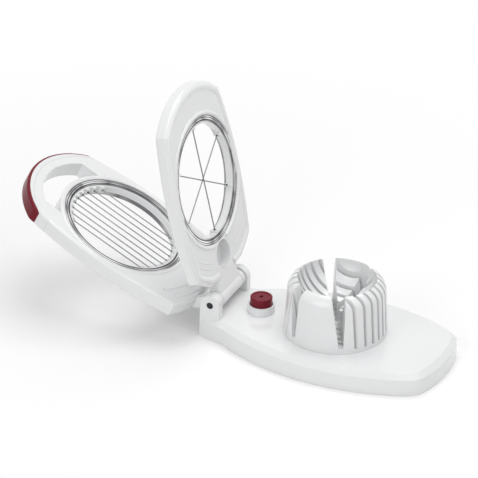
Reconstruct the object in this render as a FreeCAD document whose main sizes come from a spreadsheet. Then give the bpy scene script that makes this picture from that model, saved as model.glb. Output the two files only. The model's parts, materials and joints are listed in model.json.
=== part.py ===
import FreeCAD, Part
import math
import os
import Sketcher

Vector = FreeCAD.Vector
Rotation = FreeCAD.Rotation
Placement = FreeCAD.Placement

doc = FreeCAD.newDocument("egg_slicer")

SLICER_WIRES = 9
SPRING_SIDES = 6

# Driving sizes in millimetres and degrees. The hinge axis runs along Y above the origin.
SIZES = [
    ("hinge_height", 21.0),
    ("pin_radius", 2.0),
    ("pin_running_fit", 0.05),
    ("fixed_fit", 0.02),
    ("lug_radius", 5.2),
    ("lug_gap", 0.35),
    ("ear_margin", 1.0),
    ("slicer_lug_width", 3.6),
    ("web_angle", 27.5),
    ("web_root_s", 9.6),
    ("web_back_s", 11.5),
    ("web_end_s", 20.0),
    ("web_inset", 0.3),
    ("slicer_open_angle", 154.8),
    ("wedger_open_angle", 104.3),
    ("ring_centre", 69.4),
    ("wire_pitch", 5.0),
    ("wire_radius", 0.35),
    ("wire_hole_fit", 0.05),
    ("wire_anchor_radius", 33.4),
    ("tooth_tip_radius", 31.5),
    ("tooth_root_radius", 32.8),
    ("tooth_width", 2.2),
    ("tooth_ring_radius", 34.1),
    ("tooth_ring_height", 4.0),
    ("steel_inner_radius", 34.2),
    ("steel_outer_radius", 37.4),
    ("ring_seat_fit", 0.1),
    ("ring_recess", 0.5),
    ("base_height", 13.0),
    ("base_shoulder", 3.2),
    ("base_wall", 2.4),
    ("base_neck_x", -5.5),
    ("base_neck_half", 21.5),
    ("base_root_x", 10.0),
    ("base_root_half", 25.5),
    ("base_far_x", 133.6),
    ("base_far_half", 29.0),
    ("base_side_radius", 126.0),
    ("base_end_radius", 88.0),
    ("base_corner_radius", 14.0),
    ("hinge_tie_x", 9.8),
    ("hinge_tie_thick", 2.5),
    ("tool_overrun", 5.0),
    ("tool_reach", 40.0),
    ("cradle_foot_radius", 30.0),
    ("cradle_brow_radius", 28.4),
    ("cradle_brow", 39.0),
    ("cradle_hump_radius", 8.5),
    ("cradle_floor", 2.4),
    ("cradle_spigot_radius", 12.0),
    ("spigot_depth", 2.9),
    ("cup_radius", 23.0),
    ("cup_centre", 50.0),
    ("rim_inner_radius", 22.75),
    ("slot_width", 1.7),
    ("wedge_slot_width", 2.4),
    ("wedge_slot_sweep", 46.0),
    ("wedge_slot_undercut", 1.5),
    ("wedge_gap_foot", 1.3),
    ("wedge_gap_rise", 0.7),
    ("wedge_gap_hinge_side", 6.4),
    ("wedge_gap_far_side", 2.0),
    ("wedge_angle", 60.0),
    ("wedger_inner", -4.0),
    ("wedger_thick", 7.2),
    ("wedger_wire_level", -1.0),
    ("wedger_wire_step", 0.75),
    ("wedger_heel_s", 0.0),
    ("wedger_tongue_half", 13.0),
    ("wedger_neck_s", 10.8),
    ("wedger_shoulder_s", 20.0),
    ("wedger_shoulder_half", 35.8),
    ("wedger_far_s", 112.0),
    ("wedger_far_half", 36.0),
    ("wedger_side_radius", 195.0),
    ("wedger_end_radius", 50.5),
    ("wedger_elbow_s", 11.6),
    ("wedger_elbow_half", 21.0),
    ("piercer_pocket_gap", 0.5),
    ("piercer_pocket_level", 2.0),
    ("slicer_inner", 3.8),
    ("slicer_thick", 9.5),
    ("slicer_wire_level", 7.2),
    ("slicer_heel_s", 9.5),
    ("slicer_heel_half", 18.0),
    ("slicer_neck_s", 11.5),
    ("slicer_neck_half", 24.0),
    ("slicer_shoulder_s", 16.0),
    ("slicer_shoulder_half", 35.0),
    ("slicer_far_s", 114.4),
    ("slicer_far_half", 36.0),
    ("slicer_side_radius", 205.0),
    ("slicer_end_radius", 45.0),
    ("edge_round", 1.6),
    ("loop_centre_s", 87.4),
    ("loop_hole_radius", 35.5),
    ("loop_rim_radius", 40.4),
    ("loop_hole_half", 25.0),
    ("grip_depth", 4.6),
    ("grip_start_s", 103.0),
    ("piercer_x", 22.8),
    ("piercer_cap_radius", 6.4),
    ("piercer_cap_top", 22.3),
    ("piercer_cap_wall", 1.4),
    ("piercer_cap_crown", 2.5),
    ("piercer_hole_radius", 1.1),
    ("piercer_fit", 0.3),
    ("piercer_boss_wall", 1.2),
    ("piercer_post_wall", 1.6),
    ("piercer_boss_top", 17.8),
    ("piercer_flange_radius", 7.6),
    ("piercer_flange_thick", 1.4),
    ("piercer_flange_gap", 0.1),
    ("piercer_step", 10.4),
    ("holder_base", 1.0),
    ("holder_thick", 2.0),
    ("holder_post_height", 5.0),
    ("holder_post_wall", 1.2),
    ("needle_seat", 0.6),
    ("needle_taper", 2.0),
    ("needle_point_radius", 0.08),
    ("needle_radius", 0.5),
    ("needle_tip", 21.0),
    ("spring_radius", 3.6),
    ("spring_wire", 0.4),
    ("spring_turns", 5.0),
]

sheet = doc.addObject("Spreadsheet::Sheet", "Sizes")
for row, (alias, value) in enumerate(SIZES, start=1):
    sheet.set("A%d" % row, alias)
    sheet.set("B%d" % row, repr(value))
    sheet.setAlias("B%d" % row, alias)
doc.recompute()


def size(alias):
    """Returns one driving size from the sheet."""
    return float(sheet.get(alias))


def bind(thing, prop, expression):
    """Ties one property to the sheet."""
    thing.setExpression(prop, expression)


def cylinder(name, radius, height, place=None):
    """Adds a cylinder whose radius and height are expressions on the sheet."""
    made = doc.addObject("Part::Cylinder", name)
    bind(made, "Radius", radius)
    bind(made, "Height", height)
    if place is not None:
        made.Placement = place
    return made


def block(name, low, high):
    """Adds a box between two corners in millimetres."""
    made = doc.addObject("Part::Box", name)
    made.Length = high[0] - low[0]
    made.Width = high[1] - low[1]
    made.Height = high[2] - low[2]
    made.Placement = Placement(Vector(*low), Rotation())
    return made


def cut(name, base, tool):
    """Subtracts one object from another."""
    made = doc.addObject("Part::Cut", name)
    made.Base = base
    made.Tool = tool
    return made


def fuse(name, things):
    """Joins objects into one solid."""
    made = doc.addObject("Part::MultiFuse", name)
    made.Shapes = things
    made.Refine = True
    return made


def common(name, things):
    """Keeps what the objects share."""
    made = doc.addObject("Part::MultiCommon", name)
    made.Shapes = things
    return made


def origin_plane(body, role):
    """Finds one of the body's own origin planes."""
    for feature in body.Origin.OriginFeatures:
        if feature.Role == role:
            return feature
    raise ValueError(role)


def arc_between(start, end, radius):
    """Returns the outward arc of a counter-clockwise outline from start to end."""
    chord = end - start
    length = chord.Length
    rise = math.sqrt(radius * radius - length * length / 4.0)
    left = Vector(-chord.y, chord.x, 0) / length
    centre = (start + end) / 2.0 + left * rise
    first = math.atan2(start.y - centre.y, start.x - centre.x)
    last = math.atan2(end.y - centre.y, end.x - centre.x)
    return Part.ArcOfCircle(Part.Circle(centre, Vector(0, 0, 1), radius), first, last)


def outline(body, name, corners):
    """Draws a closed outline. A corner has x, y, the sign of y and the radius of its next side."""
    sketch = body.newObject("Sketcher::SketchObject", name)
    sketch.AttachmentSupport = [(origin_plane(body, "XY_Plane"), "")]
    sketch.MapMode = "FlatFace"
    points = [Vector(size(x), sign * size(y), 0) for x, y, sign, bend in corners]
    count = len(corners)
    for index, (x, y, sign, bend) in enumerate(corners):
        start = points[index]
        end = points[(index + 1) % count]
        if bend:
            sketch.addGeometry(arc_between(start, end, size(bend)))
        else:
            sketch.addGeometry(Part.LineSegment(start, end))
    for index in range(count):
        sketch.addConstraint(Sketcher.Constraint("Coincident", index, 2, (index + 1) % count, 1))
    for index, (x, y, sign, bend) in enumerate(corners):
        across = sketch.addConstraint(Sketcher.Constraint("DistanceX", -1, 1, index, 1, points[index].x))
        bind(sketch, "Constraints[%d]" % across, "Sizes." + x)
        along = sketch.addConstraint(Sketcher.Constraint("DistanceY", -1, 1, index, 1, points[index].y))
        bind(sketch, "Constraints[%d]" % along, ("-" if sign < 0 else "") + "Sizes." + y)
        if bend:
            bow = sketch.addConstraint(Sketcher.Constraint("Radius", index, size(bend)))
            bind(sketch, "Constraints[%d]" % bow, "Sizes." + bend)
    doc.recompute()
    return sketch


def mirrored(half):
    """Completes a front half outline with its mirror image, going counter-clockwise."""
    front = [(x, y, -1, bend) for x, y, bend in half]
    back = []
    for index in range(len(half) - 1, -1, -1):
        bend = half[index - 1][2] if index else None
        back.append((half[index][0], half[index][1], 1, bend))
    return front + back


def pad(body, sketch, name, length):
    """Extrudes a sketch by an expression on the sheet."""
    made = body.newObject("PartDesign::Pad", name)
    made.Profile = sketch
    bind(made, "Length", length)
    doc.recompute()
    return made


def flat_faces(shape, level):
    """Names the flat faces lying at one height."""
    names = []
    for number, face in enumerate(shape.Faces, start=1):
        box = face.BoundBox
        if box.ZLength < 1e-4 and abs(box.ZMax - level) < 1e-4:
            names.append("Face%d" % number)
    return names


def along_y(name, radius, low, high, level=0.0):
    """Adds a cylinder lying along Y between two stations, at one height above the origin."""
    made = doc.addObject("Part::Cylinder", name)
    bind(made, "Radius", radius)
    made.Height = high - low
    made.Placement = Placement(Vector(0, low, level), Rotation(Vector(1, 0, 0), -90))
    return made


def web(name, profile, low, high):
    """Adds a prism between two stations along Y from a profile in X and Z."""
    made = doc.addObject("Part::Feature", name)
    wire = Part.makePolygon([Vector(x, low, z) for x, z in profile + profile[:1]])
    made.Shape = Part.Face(wire).extrude(Vector(0, high - low, 0))
    return made


# Stations of the hinge pieces along the pin, counted outward from the middle.
wedger_lug_half = size("wedger_tongue_half")
slicer_lug_inner = wedger_lug_half + size("lug_gap")
slicer_lug_outer = slicer_lug_inner + size("slicer_lug_width")
ear_inner = slicer_lug_outer + size("lug_gap")
ear_outer = size("base_neck_half")
hinge_z = size("hinge_height")
boss_radius = size("piercer_cap_radius") + size("piercer_fit") + size("piercer_boss_wall")
bore_radius = size("piercer_cap_radius") + size("piercer_fit")
well_radius = size("piercer_flange_radius") + size("piercer_fit")
slice_offsets = [(number - SLICER_WIRES // 2) * size("wire_pitch") for number in range(SLICER_WIRES)]
reach = size("tool_reach")
finished = []


def finish(thing, label):
    """Keeps a finished piece for export."""
    thing.Label = label
    finished.append((thing, label))
    return thing


# The base is a hollow leaf-shaped moulding with a sloped shoulder.
base_body = doc.addObject("PartDesign::Body", "base_body")
base_sketch = outline(base_body, "base_outline", mirrored([
    ("base_neck_x", "base_neck_half", None),
    ("base_root_x", "base_root_half", "base_side_radius"),
    ("base_far_x", "base_far_half", "base_end_radius"),
]))
base_pad = pad(base_body, base_sketch, "base_pad", "Sizes.base_height")
far_edges = []
for number, edge in enumerate(base_pad.Shape.Edges, start=1):
    box = edge.BoundBox
    if box.ZLength > 1 and box.XLength < 1e-4 and abs(box.XMin - size("base_far_x")) < 1e-3:
        far_edges.append("Edge%d" % number)
base_corners = base_body.newObject("PartDesign::Fillet", "base_corners")
base_corners.Base = (base_pad, far_edges)
bind(base_corners, "Radius", "Sizes.base_corner_radius")
doc.recompute()
base_shoulder = base_body.newObject("PartDesign::Chamfer", "base_shoulder")
base_shoulder.Base = (base_corners, flat_faces(base_corners.Shape, size("base_height")))
bind(base_shoulder, "Size", "Sizes.base_shoulder")
doc.recompute()
base_hollow = base_body.newObject("PartDesign::Thickness", "base_hollow")
base_hollow.Base = (base_shoulder, flat_faces(base_shoulder.Shape, 0.0))
bind(base_hollow, "Value", "Sizes.base_wall")
base_hollow.Reversed = True
base_hollow.Mode = 0
base_hollow.Join = 0
doc.recompute()

ears = []
ear_reach = size("lug_radius") + size("ear_margin")
for side in (-1, 1):
    low = min(side * ear_inner, side * ear_outer)
    high = max(side * ear_inner, side * ear_outer)
    ears.append(along_y("ear_round", "Sizes.lug_radius + Sizes.ear_margin", low, high, hinge_z))
    ears.append(block("ear_block", (-ear_reach, low, 0.0), (ear_reach, high, hinge_z)))
piercer_middle = Placement(Vector(size("piercer_x"), 0, 0), Rotation())
piercer_post = cylinder("piercer_post", "%r" % (well_radius + size("piercer_post_wall")),
                        "Sizes.base_height - Sizes.base_wall / 2", piercer_middle)
piercer_boss = cylinder("piercer_boss", "%r" % boss_radius, "Sizes.piercer_boss_top", piercer_middle)
ears.append(block("hinge_tie", (-ear_reach, -ear_inner, 0.0),
                  (size("hinge_tie_x"), ear_inner, size("hinge_tie_thick"))))
base_joined = fuse("base_joined", [base_body, piercer_post, piercer_boss] + ears)
well = cylinder("piercer_well", "%r" % well_radius, "Sizes.piercer_step", piercer_middle)
bore = cylinder("piercer_bore", "%r" % bore_radius, "Sizes.piercer_boss_top + Sizes.tool_overrun",
                piercer_middle)
pin_bore = along_y("pin_bore", "Sizes.pin_radius + Sizes.fixed_fit", -reach, reach, hinge_z)
spigot_hole = cylinder("spigot_hole", "Sizes.cradle_spigot_radius + Sizes.fixed_fit",
                       "Sizes.base_height + Sizes.tool_overrun",
                       Placement(Vector(size("ring_centre"), 0, 0), Rotation()))
base_cuts = fuse("base_cuts", [well, bore])
base_open = cut("base_open", base_joined, base_cuts)
base_pinned = cut("base_pinned", base_open, pin_bore)
finish(cut("base_shell", base_pinned, spigot_hole), "base_shell")

# One steel pin carries both arms and is held in the base ears.
finish(along_y("hinge_pin", "Sizes.pin_radius", -ear_outer, ear_outer, hinge_z), "hinge_pin")

# The cradle is turned as a cup and then slotted for both sets of wires.
cradle_body = doc.addObject("PartDesign::Body", "cradle_body")
cradle_sketch = cradle_body.newObject("Sketcher::SketchObject", "cradle_profile")
cradle_sketch.AttachmentSupport = [(origin_plane(cradle_body, "XZ_Plane"), "")]
cradle_sketch.MapMode = "FlatFace"
floor_z = size("base_height")
cup_low = size("cup_centre") - size("cup_radius")
rim_drop = math.sqrt(size("cup_radius") ** 2 - size("rim_inner_radius") ** 2)
axis_foot = Vector(0, floor_z, 0)
outer_foot = Vector(size("cradle_foot_radius"), floor_z, 0)
brow = Vector(size("cradle_brow_radius"), size("cradle_brow"), 0)
rim = Vector(size("rim_inner_radius"), size("cup_centre") - rim_drop, 0)
axis_cup = Vector(0, cup_low, 0)
cup_circle = Part.Circle(Vector(0, size("cup_centre"), 0), Vector(0, 0, 1), size("cup_radius"))
cradle_sketch.addGeometry(Part.LineSegment(axis_foot, outer_foot))
cradle_sketch.addGeometry(Part.LineSegment(outer_foot, brow))
cradle_sketch.addGeometry(arc_between(brow, rim, size("cradle_hump_radius")))
cradle_sketch.addGeometry(Part.ArcOfCircle(cup_circle, -math.pi / 2, math.atan2(-rim_drop, rim.x)))
cradle_sketch.addGeometry(Part.LineSegment(axis_cup, axis_foot))
doc.recompute()
cradle_turn = cradle_body.newObject("PartDesign::Revolution", "cradle_turn")
cradle_turn.Profile = cradle_sketch
cradle_turn.ReferenceAxis = (cradle_sketch, ["V_Axis"])
cradle_turn.Angle = 360.0
doc.recompute()
cradle_body.Placement = Placement(Vector(size("ring_centre"), 0, 0), Rotation())
slot_floor = floor_z + size("cradle_floor")
slots = []
half = size("slot_width") / 2
for middle in slice_offsets:
    slots.append(block("wire_slot", (size("ring_centre") - reach, middle - half, slot_floor),
                       (size("ring_centre") + reach, middle + half, size("cup_centre"))))
wedge_level = size("wedger_wire_level")
for turn in (-1, 1):
    half = size("wedge_slot_width") / 2
    strip = Part.makePlane(2 * reach, 2 * half, Vector(-reach, -half, 0))
    strip.Placement = Placement(Vector(size("ring_centre"), 0, hinge_z + wedge_level),
                                Rotation(Vector(0, 0, 1), turn * size("wedge_angle")))
    strip.rotate(Vector(0, 0, hinge_z), Vector(0, 1, 0), size("wedge_slot_undercut"))
    gap = doc.addObject("Part::Feature", "wedge_gap")
    foot = size("wedge_gap_foot")
    gap_low = slot_floor + size("wedge_gap_rise")
    corners = [Vector(-reach, -turn * foot, gap_low), Vector(-reach, turn * foot, gap_low),
               Vector(-reach, turn * size("wedge_gap_hinge_side"), size("cup_centre")),
               Vector(-reach, -turn * size("wedge_gap_far_side"), size("cup_centre"))]
    gap.Shape = Part.Face(Part.makePolygon(corners + corners[:1])).extrude(Vector(2 * reach, 0, 0))
    gap.Placement = Placement(Vector(size("ring_centre"), 0, 0),
                              Rotation(Vector(0, 0, 1), turn * size("wedge_angle")))
    slots.append(gap)
    sweep = doc.addObject("Part::Feature", "wedge_slot")
    sweep.Shape = strip.revolve(Vector(0, 0, hinge_z), Vector(0, -1, 0), size("wedge_slot_sweep"))
    slots.append(sweep)
slot_set = fuse("cradle_slots", slots)
cradle_cut = cut("cradle_cut", cradle_body, slot_set)
spigot_place = Placement(Vector(size("ring_centre"), 0, floor_z - size("spigot_depth")), Rotation())
spigot = cylinder("cradle_spigot", "Sizes.cradle_spigot_radius",
                  "Sizes.spigot_depth + Sizes.cradle_floor / 2", spigot_place)
finish(fuse("egg_cradle", [cradle_cut, spigot]), "egg_cradle")

# The egg piercer: a sprung cap slides over a fixed needle.
cap_low = size("piercer_step") - size("piercer_flange_thick") - size("piercer_flange_gap")
cap_place = Placement(Vector(size("piercer_x"), 0, cap_low), Rotation())
crown_low = size("piercer_cap_top") - size("piercer_cap_crown")
cap_outer = cylinder("cap_outer", "Sizes.piercer_cap_radius", "%r" % (size("piercer_cap_top") - cap_low),
                     cap_place)
cap_flange = cylinder("cap_flange", "Sizes.piercer_flange_radius", "Sizes.piercer_flange_thick", cap_place)
cap_solid = fuse("cap_solid", [cap_outer, cap_flange])
cap_hollow = cylinder("cap_hollow", "Sizes.piercer_cap_radius - Sizes.piercer_cap_wall",
                      "%r" % (crown_low - cap_low), cap_place)
cap_shell = cut("cap_shell", cap_solid, cap_hollow)
cap_hole = cylinder("cap_hole", "Sizes.piercer_hole_radius", "Sizes.piercer_cap_top + Sizes.tool_overrun",
                    piercer_middle)
finish(cut("piercer_cap", cap_shell, cap_hole), "piercer_cap")

holder_place = Placement(Vector(size("piercer_x"), 0, size("holder_base")), Rotation())
holder_radius = well_radius - size("fixed_fit")
holder_disc = cylinder("holder_disc", "%r" % holder_radius, "Sizes.holder_thick", holder_place)
holder_post = cylinder("holder_post", "Sizes.needle_radius + Sizes.holder_post_wall",
                       "Sizes.holder_post_height", holder_place)
holder_solid = fuse("holder_solid", [holder_disc, holder_post])
needle_low = size("holder_base") + size("needle_seat")
needle_place = Placement(Vector(size("piercer_x"), 0, needle_low), Rotation())
needle_hole = cylinder("needle_hole", "Sizes.needle_radius + Sizes.fixed_fit", "Sizes.needle_tip",
                       needle_place)
finish(cut("needle_holder", holder_solid, needle_hole), "needle_holder")

taper_low = size("needle_tip") - size("needle_taper")
needle_shaft = cylinder("needle_shaft", "Sizes.needle_radius", "%r" % (taper_low - needle_low), needle_place)
needle_point = doc.addObject("Part::Cone", "needle_point")
bind(needle_point, "Radius1", "Sizes.needle_radius")
bind(needle_point, "Radius2", "Sizes.needle_point_radius")
bind(needle_point, "Height", "Sizes.needle_taper")
needle_point.Placement = Placement(Vector(size("piercer_x"), 0, taper_low), Rotation())
finish(fuse("piercer_needle", [needle_shaft, needle_point]), "piercer_needle")

spring_low = size("holder_base") + size("holder_thick") + size("spring_wire") + size("fixed_fit")
spring_high = crown_low - size("spring_wire") - size("fixed_fit")
coil = Part.makeHelix((spring_high - spring_low) / size("spring_turns"), spring_high - spring_low,
                      size("spring_radius"))
# The hidden spring's wire is drawn with flat sides to keep its mesh light.
section_points = []
for corner in range(SPRING_SIDES + 1):
    turn = 2 * math.pi * corner / SPRING_SIDES
    section_points.append(Vector(size("spring_radius") + size("spring_wire") * math.cos(turn), 0,
                                 size("spring_wire") * math.sin(turn)))
section = Part.makePolygon(section_points)
piercer_spring = doc.addObject("Part::Feature", "piercer_spring")
piercer_spring.Shape = Part.Wire(coil).makePipeShell([section], True, True)
piercer_spring.Placement = Placement(Vector(size("piercer_x"), 0, spring_low), Rotation())
finish(piercer_spring, "piercer_spring")


def arm_place(angle):
    """Turns a piece drawn closed about the hinge to its open angle."""
    return Placement(Vector(0, 0, hinge_z), Rotation(Vector(0, -1, 0), angle))


def tooth_ring(prefix, level, angles_and_offsets, holes, angle):
    """Adds the white ring whose teeth hold the wire ends."""
    centre = Vector(size("ring_centre"), 0, level - size("tooth_ring_height") / 2)
    outer = cylinder(prefix + "_outer", "Sizes.tooth_ring_radius", "Sizes.tooth_ring_height",
                     Placement(centre, Rotation()))
    inner = cylinder(prefix + "_inner", "Sizes.tooth_tip_radius", "Sizes.tooth_ring_height",
                     Placement(centre, Rotation()))
    root = cylinder(prefix + "_root", "Sizes.tooth_root_radius", "Sizes.tooth_ring_height",
                    Placement(centre, Rotation()))
    band = cut(prefix + "_band", outer, root)
    lip = cut(prefix + "_lip", outer, inner)
    bars = []
    half = size("tooth_width") / 2
    for turn, offset in angles_and_offsets:
        bar = block(prefix + "_bar", (-reach, offset - half, 0.0),
                    (reach, offset + half, size("tooth_ring_height")))
        bar.Placement = Placement(centre, Rotation(Vector(0, 0, 1), turn)).multiply(bar.Placement)
        bars.append(bar)
    teeth = common(prefix + "_teeth", [lip, fuse(prefix + "_bars", bars)])
    joined = fuse(prefix + "_joined", [band, teeth])
    made = cut(prefix + "_tooth_ring", joined, fuse(prefix + "_holes", holes))
    made.Placement = arm_place(angle)
    return finish(made, prefix + "_tooth_ring")


def steel_ring(prefix, inner_face, thick, angle):
    """Adds the polished band seated in an arm, a little below its faces."""
    place = Placement(Vector(size("ring_centre"), 0, size(inner_face) + size("ring_recess")), Rotation())
    height = "Sizes.%s - 2 * Sizes.ring_recess" % thick
    outer = cylinder(prefix + "_steel_outer", "Sizes.steel_outer_radius", height, place)
    inner = cylinder(prefix + "_steel_inner", "Sizes.steel_inner_radius", height, place)
    made = cut(prefix + "_ring", outer, inner)
    made.Placement = arm_place(angle)
    return finish(made, prefix + "_ring")


def wire(name, turn, offset, level, angle):
    """Adds one straight wire across a ring and returns the square seat that its teeth need."""
    half = math.sqrt(size("wire_anchor_radius") ** 2 - offset ** 2)
    place = Placement(Vector(size("ring_centre"), 0, level), Rotation(Vector(0, 0, 1), turn))
    lie = Placement(Vector(-half, offset, 0), Rotation(Vector(0, 1, 0), 90))
    made = cylinder(name, "Sizes.wire_radius", "%r" % (2 * half))
    made.Placement = arm_place(angle).multiply(place).multiply(lie)
    finish(made, name)
    room = size("wire_radius") + size("wire_hole_fit")
    seat = block(name + "_seat", (-half, offset - room, -room), (half, offset + room, room))
    seat.Placement = place.multiply(seat.Placement)
    return seat


def arm_body(prefix, half_outline, inner, thick):
    """Adds an arm plate with rounded edges, lying closed."""
    body = doc.addObject("PartDesign::Body", prefix + "_body")
    sketch = outline(body, prefix + "_outline", mirrored(half_outline))
    plate = pad(body, sketch, prefix + "_pad", "Sizes." + thick)
    rounding = body.newObject("PartDesign::Fillet", prefix + "_rounding")
    faces = flat_faces(plate.Shape, 0.0) + flat_faces(plate.Shape, size(thick))
    rounding.Base = (plate, faces)
    bind(rounding, "Radius", "Sizes.edge_round")
    doc.recompute()
    body.Placement = Placement(Vector(0, 0, size(inner)), Rotation())
    return body


seat_radius = "Sizes.steel_outer_radius + Sizes.ring_seat_fit"
through = "%r" % (2 * reach)
ring_middle = Placement(Vector(size("ring_centre"), 0, -reach), Rotation())

# The wedger arm: three crossed wires in a flat frame whose hinge tongue fits between the slicer's lugs.
wedger_body = arm_body("wedger", [
    ("wedger_heel_s", "wedger_tongue_half", None),
    ("wedger_neck_s", "wedger_tongue_half", None),
    ("wedger_elbow_s", "wedger_elbow_half", None),
    ("wedger_shoulder_s", "wedger_shoulder_half", "wedger_side_radius"),
    ("wedger_far_s", "wedger_far_half", "wedger_end_radius"),
], "wedger_inner", "wedger_thick")
wedger_lug = along_y("wedger_lug", "Sizes.lug_radius", -wedger_lug_half, wedger_lug_half)
piercer_pocket = cylinder("piercer_pocket", "%r" % (boss_radius + size("piercer_pocket_gap")),
                          "%r" % (reach + size("piercer_pocket_level")),
                          Placement(Vector(size("piercer_x"), 0, -reach), Rotation()))
wedger_joined = cut("wedger_joined", fuse("wedger_with_lug", [wedger_body, wedger_lug]), piercer_pocket)
wedger_opening = cylinder("wedger_opening", seat_radius, through, ring_middle)
wedger_bored = cut("wedger_bored", wedger_joined, wedger_opening)
wedger_pin_hole = along_y("wedger_pin_hole", "Sizes.pin_radius + Sizes.pin_running_fit", -reach, reach)
wedger_frame = cut("wedger_frame", wedger_bored, wedger_pin_hole)
wedger_frame.Placement = arm_place(size("wedger_open_angle"))
finish(wedger_frame, "wedger_frame")
steel_ring("wedger", "wedger_inner", "wedger_thick", size("wedger_open_angle"))
wedger_holes = []
wedger_turns = [0.0, size("wedge_angle"), -size("wedge_angle")]
for number, turn in enumerate(wedger_turns):
    level = size("wedger_wire_level") + (number - 1) * size("wedger_wire_step")
    wedger_holes.append(wire("wedger_wire_%d" % (number + 1), turn, 0.0, level, size("wedger_open_angle")))
tooth_ring("wedger", size("wedger_wire_level"), [(turn, 0.0) for turn in wedger_turns], wedger_holes,
           size("wedger_open_angle"))

# The slicer arm: nine parallel wires, a loop handle and a coloured grip.
slicer_body = arm_body("slicer", [
    ("slicer_heel_s", "slicer_heel_half", None),
    ("slicer_neck_s", "slicer_neck_half", None),
    ("slicer_shoulder_s", "slicer_shoulder_half", "slicer_side_radius"),
    ("slicer_far_s", "slicer_far_half", "slicer_end_radius"),
], "slicer_inner", "slicer_thick")
web_low = size("slicer_inner") + size("web_inset")
web_high = size("slicer_inner") + size("slicer_thick") - size("web_inset")
lug_s = size("lug_radius") * math.cos(math.radians(size("web_angle")))
lug_n = size("lug_radius") * math.sin(math.radians(size("web_angle")))
slicer_profile = [
    (-lug_s, lug_n),
    (lug_s, -lug_n),
    (size("web_root_s"), web_low),
    (size("web_end_s"), web_low),
    (size("web_end_s"), web_high),
    (size("web_back_s"), web_high),
]
slicer_outline = doc.getObject("slicer_outline")
slicer_parts = [slicer_body]
for side in (-1, 1):
    low = min(side * slicer_lug_inner, side * slicer_lug_outer)
    high = max(side * slicer_lug_inner, side * slicer_lug_outer)
    slicer_parts.append(along_y("slicer_lug", "Sizes.lug_radius", low, high))
    slicer_parts.append(web("slicer_web", slicer_profile, low, high))
slicer_joined = fuse("slicer_joined", slicer_parts)
slicer_opening = cylinder("slicer_opening", seat_radius, through, ring_middle)
loop_disc = cylinder("loop_disc", "Sizes.loop_hole_radius", through,
                     Placement(Vector(size("loop_centre_s"), 0, -reach), Rotation()))
loop_rim = cylinder("loop_rim", "Sizes.loop_rim_radius", through, ring_middle)
loop_lune = cut("loop_lune", loop_disc, loop_rim)
loop_span = block("loop_span", (size("ring_centre"), -size("loop_hole_half"), -reach),
                  (size("ring_centre") + 2 * reach, size("loop_hole_half"), reach))
finger_gap = common("finger_gap", [loop_lune, loop_span])
slicer_bored = cut("slicer_bored", slicer_joined, slicer_opening)
slicer_looped = cut("slicer_looped", slicer_bored, finger_gap)
slicer_pin_hole = along_y("slicer_pin_hole", "Sizes.pin_radius + Sizes.pin_running_fit", -reach, reach)
slicer_pinned = cut("slicer_pinned", slicer_looped, slicer_pin_hole)
grip_space = block("grip_space", (size("grip_start_s"), -reach, -reach),
                   (size("grip_start_s") + reach, reach, reach))
handle_end = common("handle_end", [slicer_pinned, grip_space])
# The grip is the crescent between the arm's end and the same outline drawn back toward the hinge.
grip_core = Part.Face(slicer_outline.Shape).extrude(Vector(0, 0, 2 * reach))
grip_core.translate(Vector(-size("grip_depth"), 0, -reach))
grip_back = doc.addObject("Part::Feature", "grip_back")
grip_back.Shape = grip_core
handle_grip = cut("handle_grip", handle_end, grip_back)
handle_grip.Placement = arm_place(size("slicer_open_angle"))
finish(handle_grip, "handle_grip")
grip_crescent = cut("grip_crescent", grip_space, grip_back)
slicer_frame = cut("slicer_frame", slicer_pinned, grip_crescent)
slicer_frame.Placement = arm_place(size("slicer_open_angle"))
finish(slicer_frame, "slicer_frame")
steel_ring("slicer", "slicer_inner", "slicer_thick", size("slicer_open_angle"))
slicer_holes = []
for number, offset in enumerate(slice_offsets, start=1):
    slicer_holes.append(wire("slicer_wire_%d" % number, 0.0, offset, size("slicer_wire_level"),
                             size("slicer_open_angle")))
tooth_ring("slicer", size("slicer_wire_level"), [(0.0, offset) for offset in slice_offsets], slicer_holes,
           size("slicer_open_angle"))

doc.recompute()
for thing in doc.Objects:
    if "Invalid" in thing.State or "Error" in thing.State:
        raise RuntimeError("%s did not build: %s" % (thing.Name, thing.State))
os.makedirs("parts", exist_ok=True)
for thing, label in finished:
    shape = thing.Shape
    if shape.isNull() or not shape.isValid() or len(shape.Solids) != 1:
        raise RuntimeError("%s is not one sound solid: %d" % (label, len(shape.Solids)))
    shape.exportStep("parts/%s.step" % label)
print("pieces", len(finished))
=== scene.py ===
import json
import math
from collections import namedtuple

import bpy
from mathutils import Matrix, Vector


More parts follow.
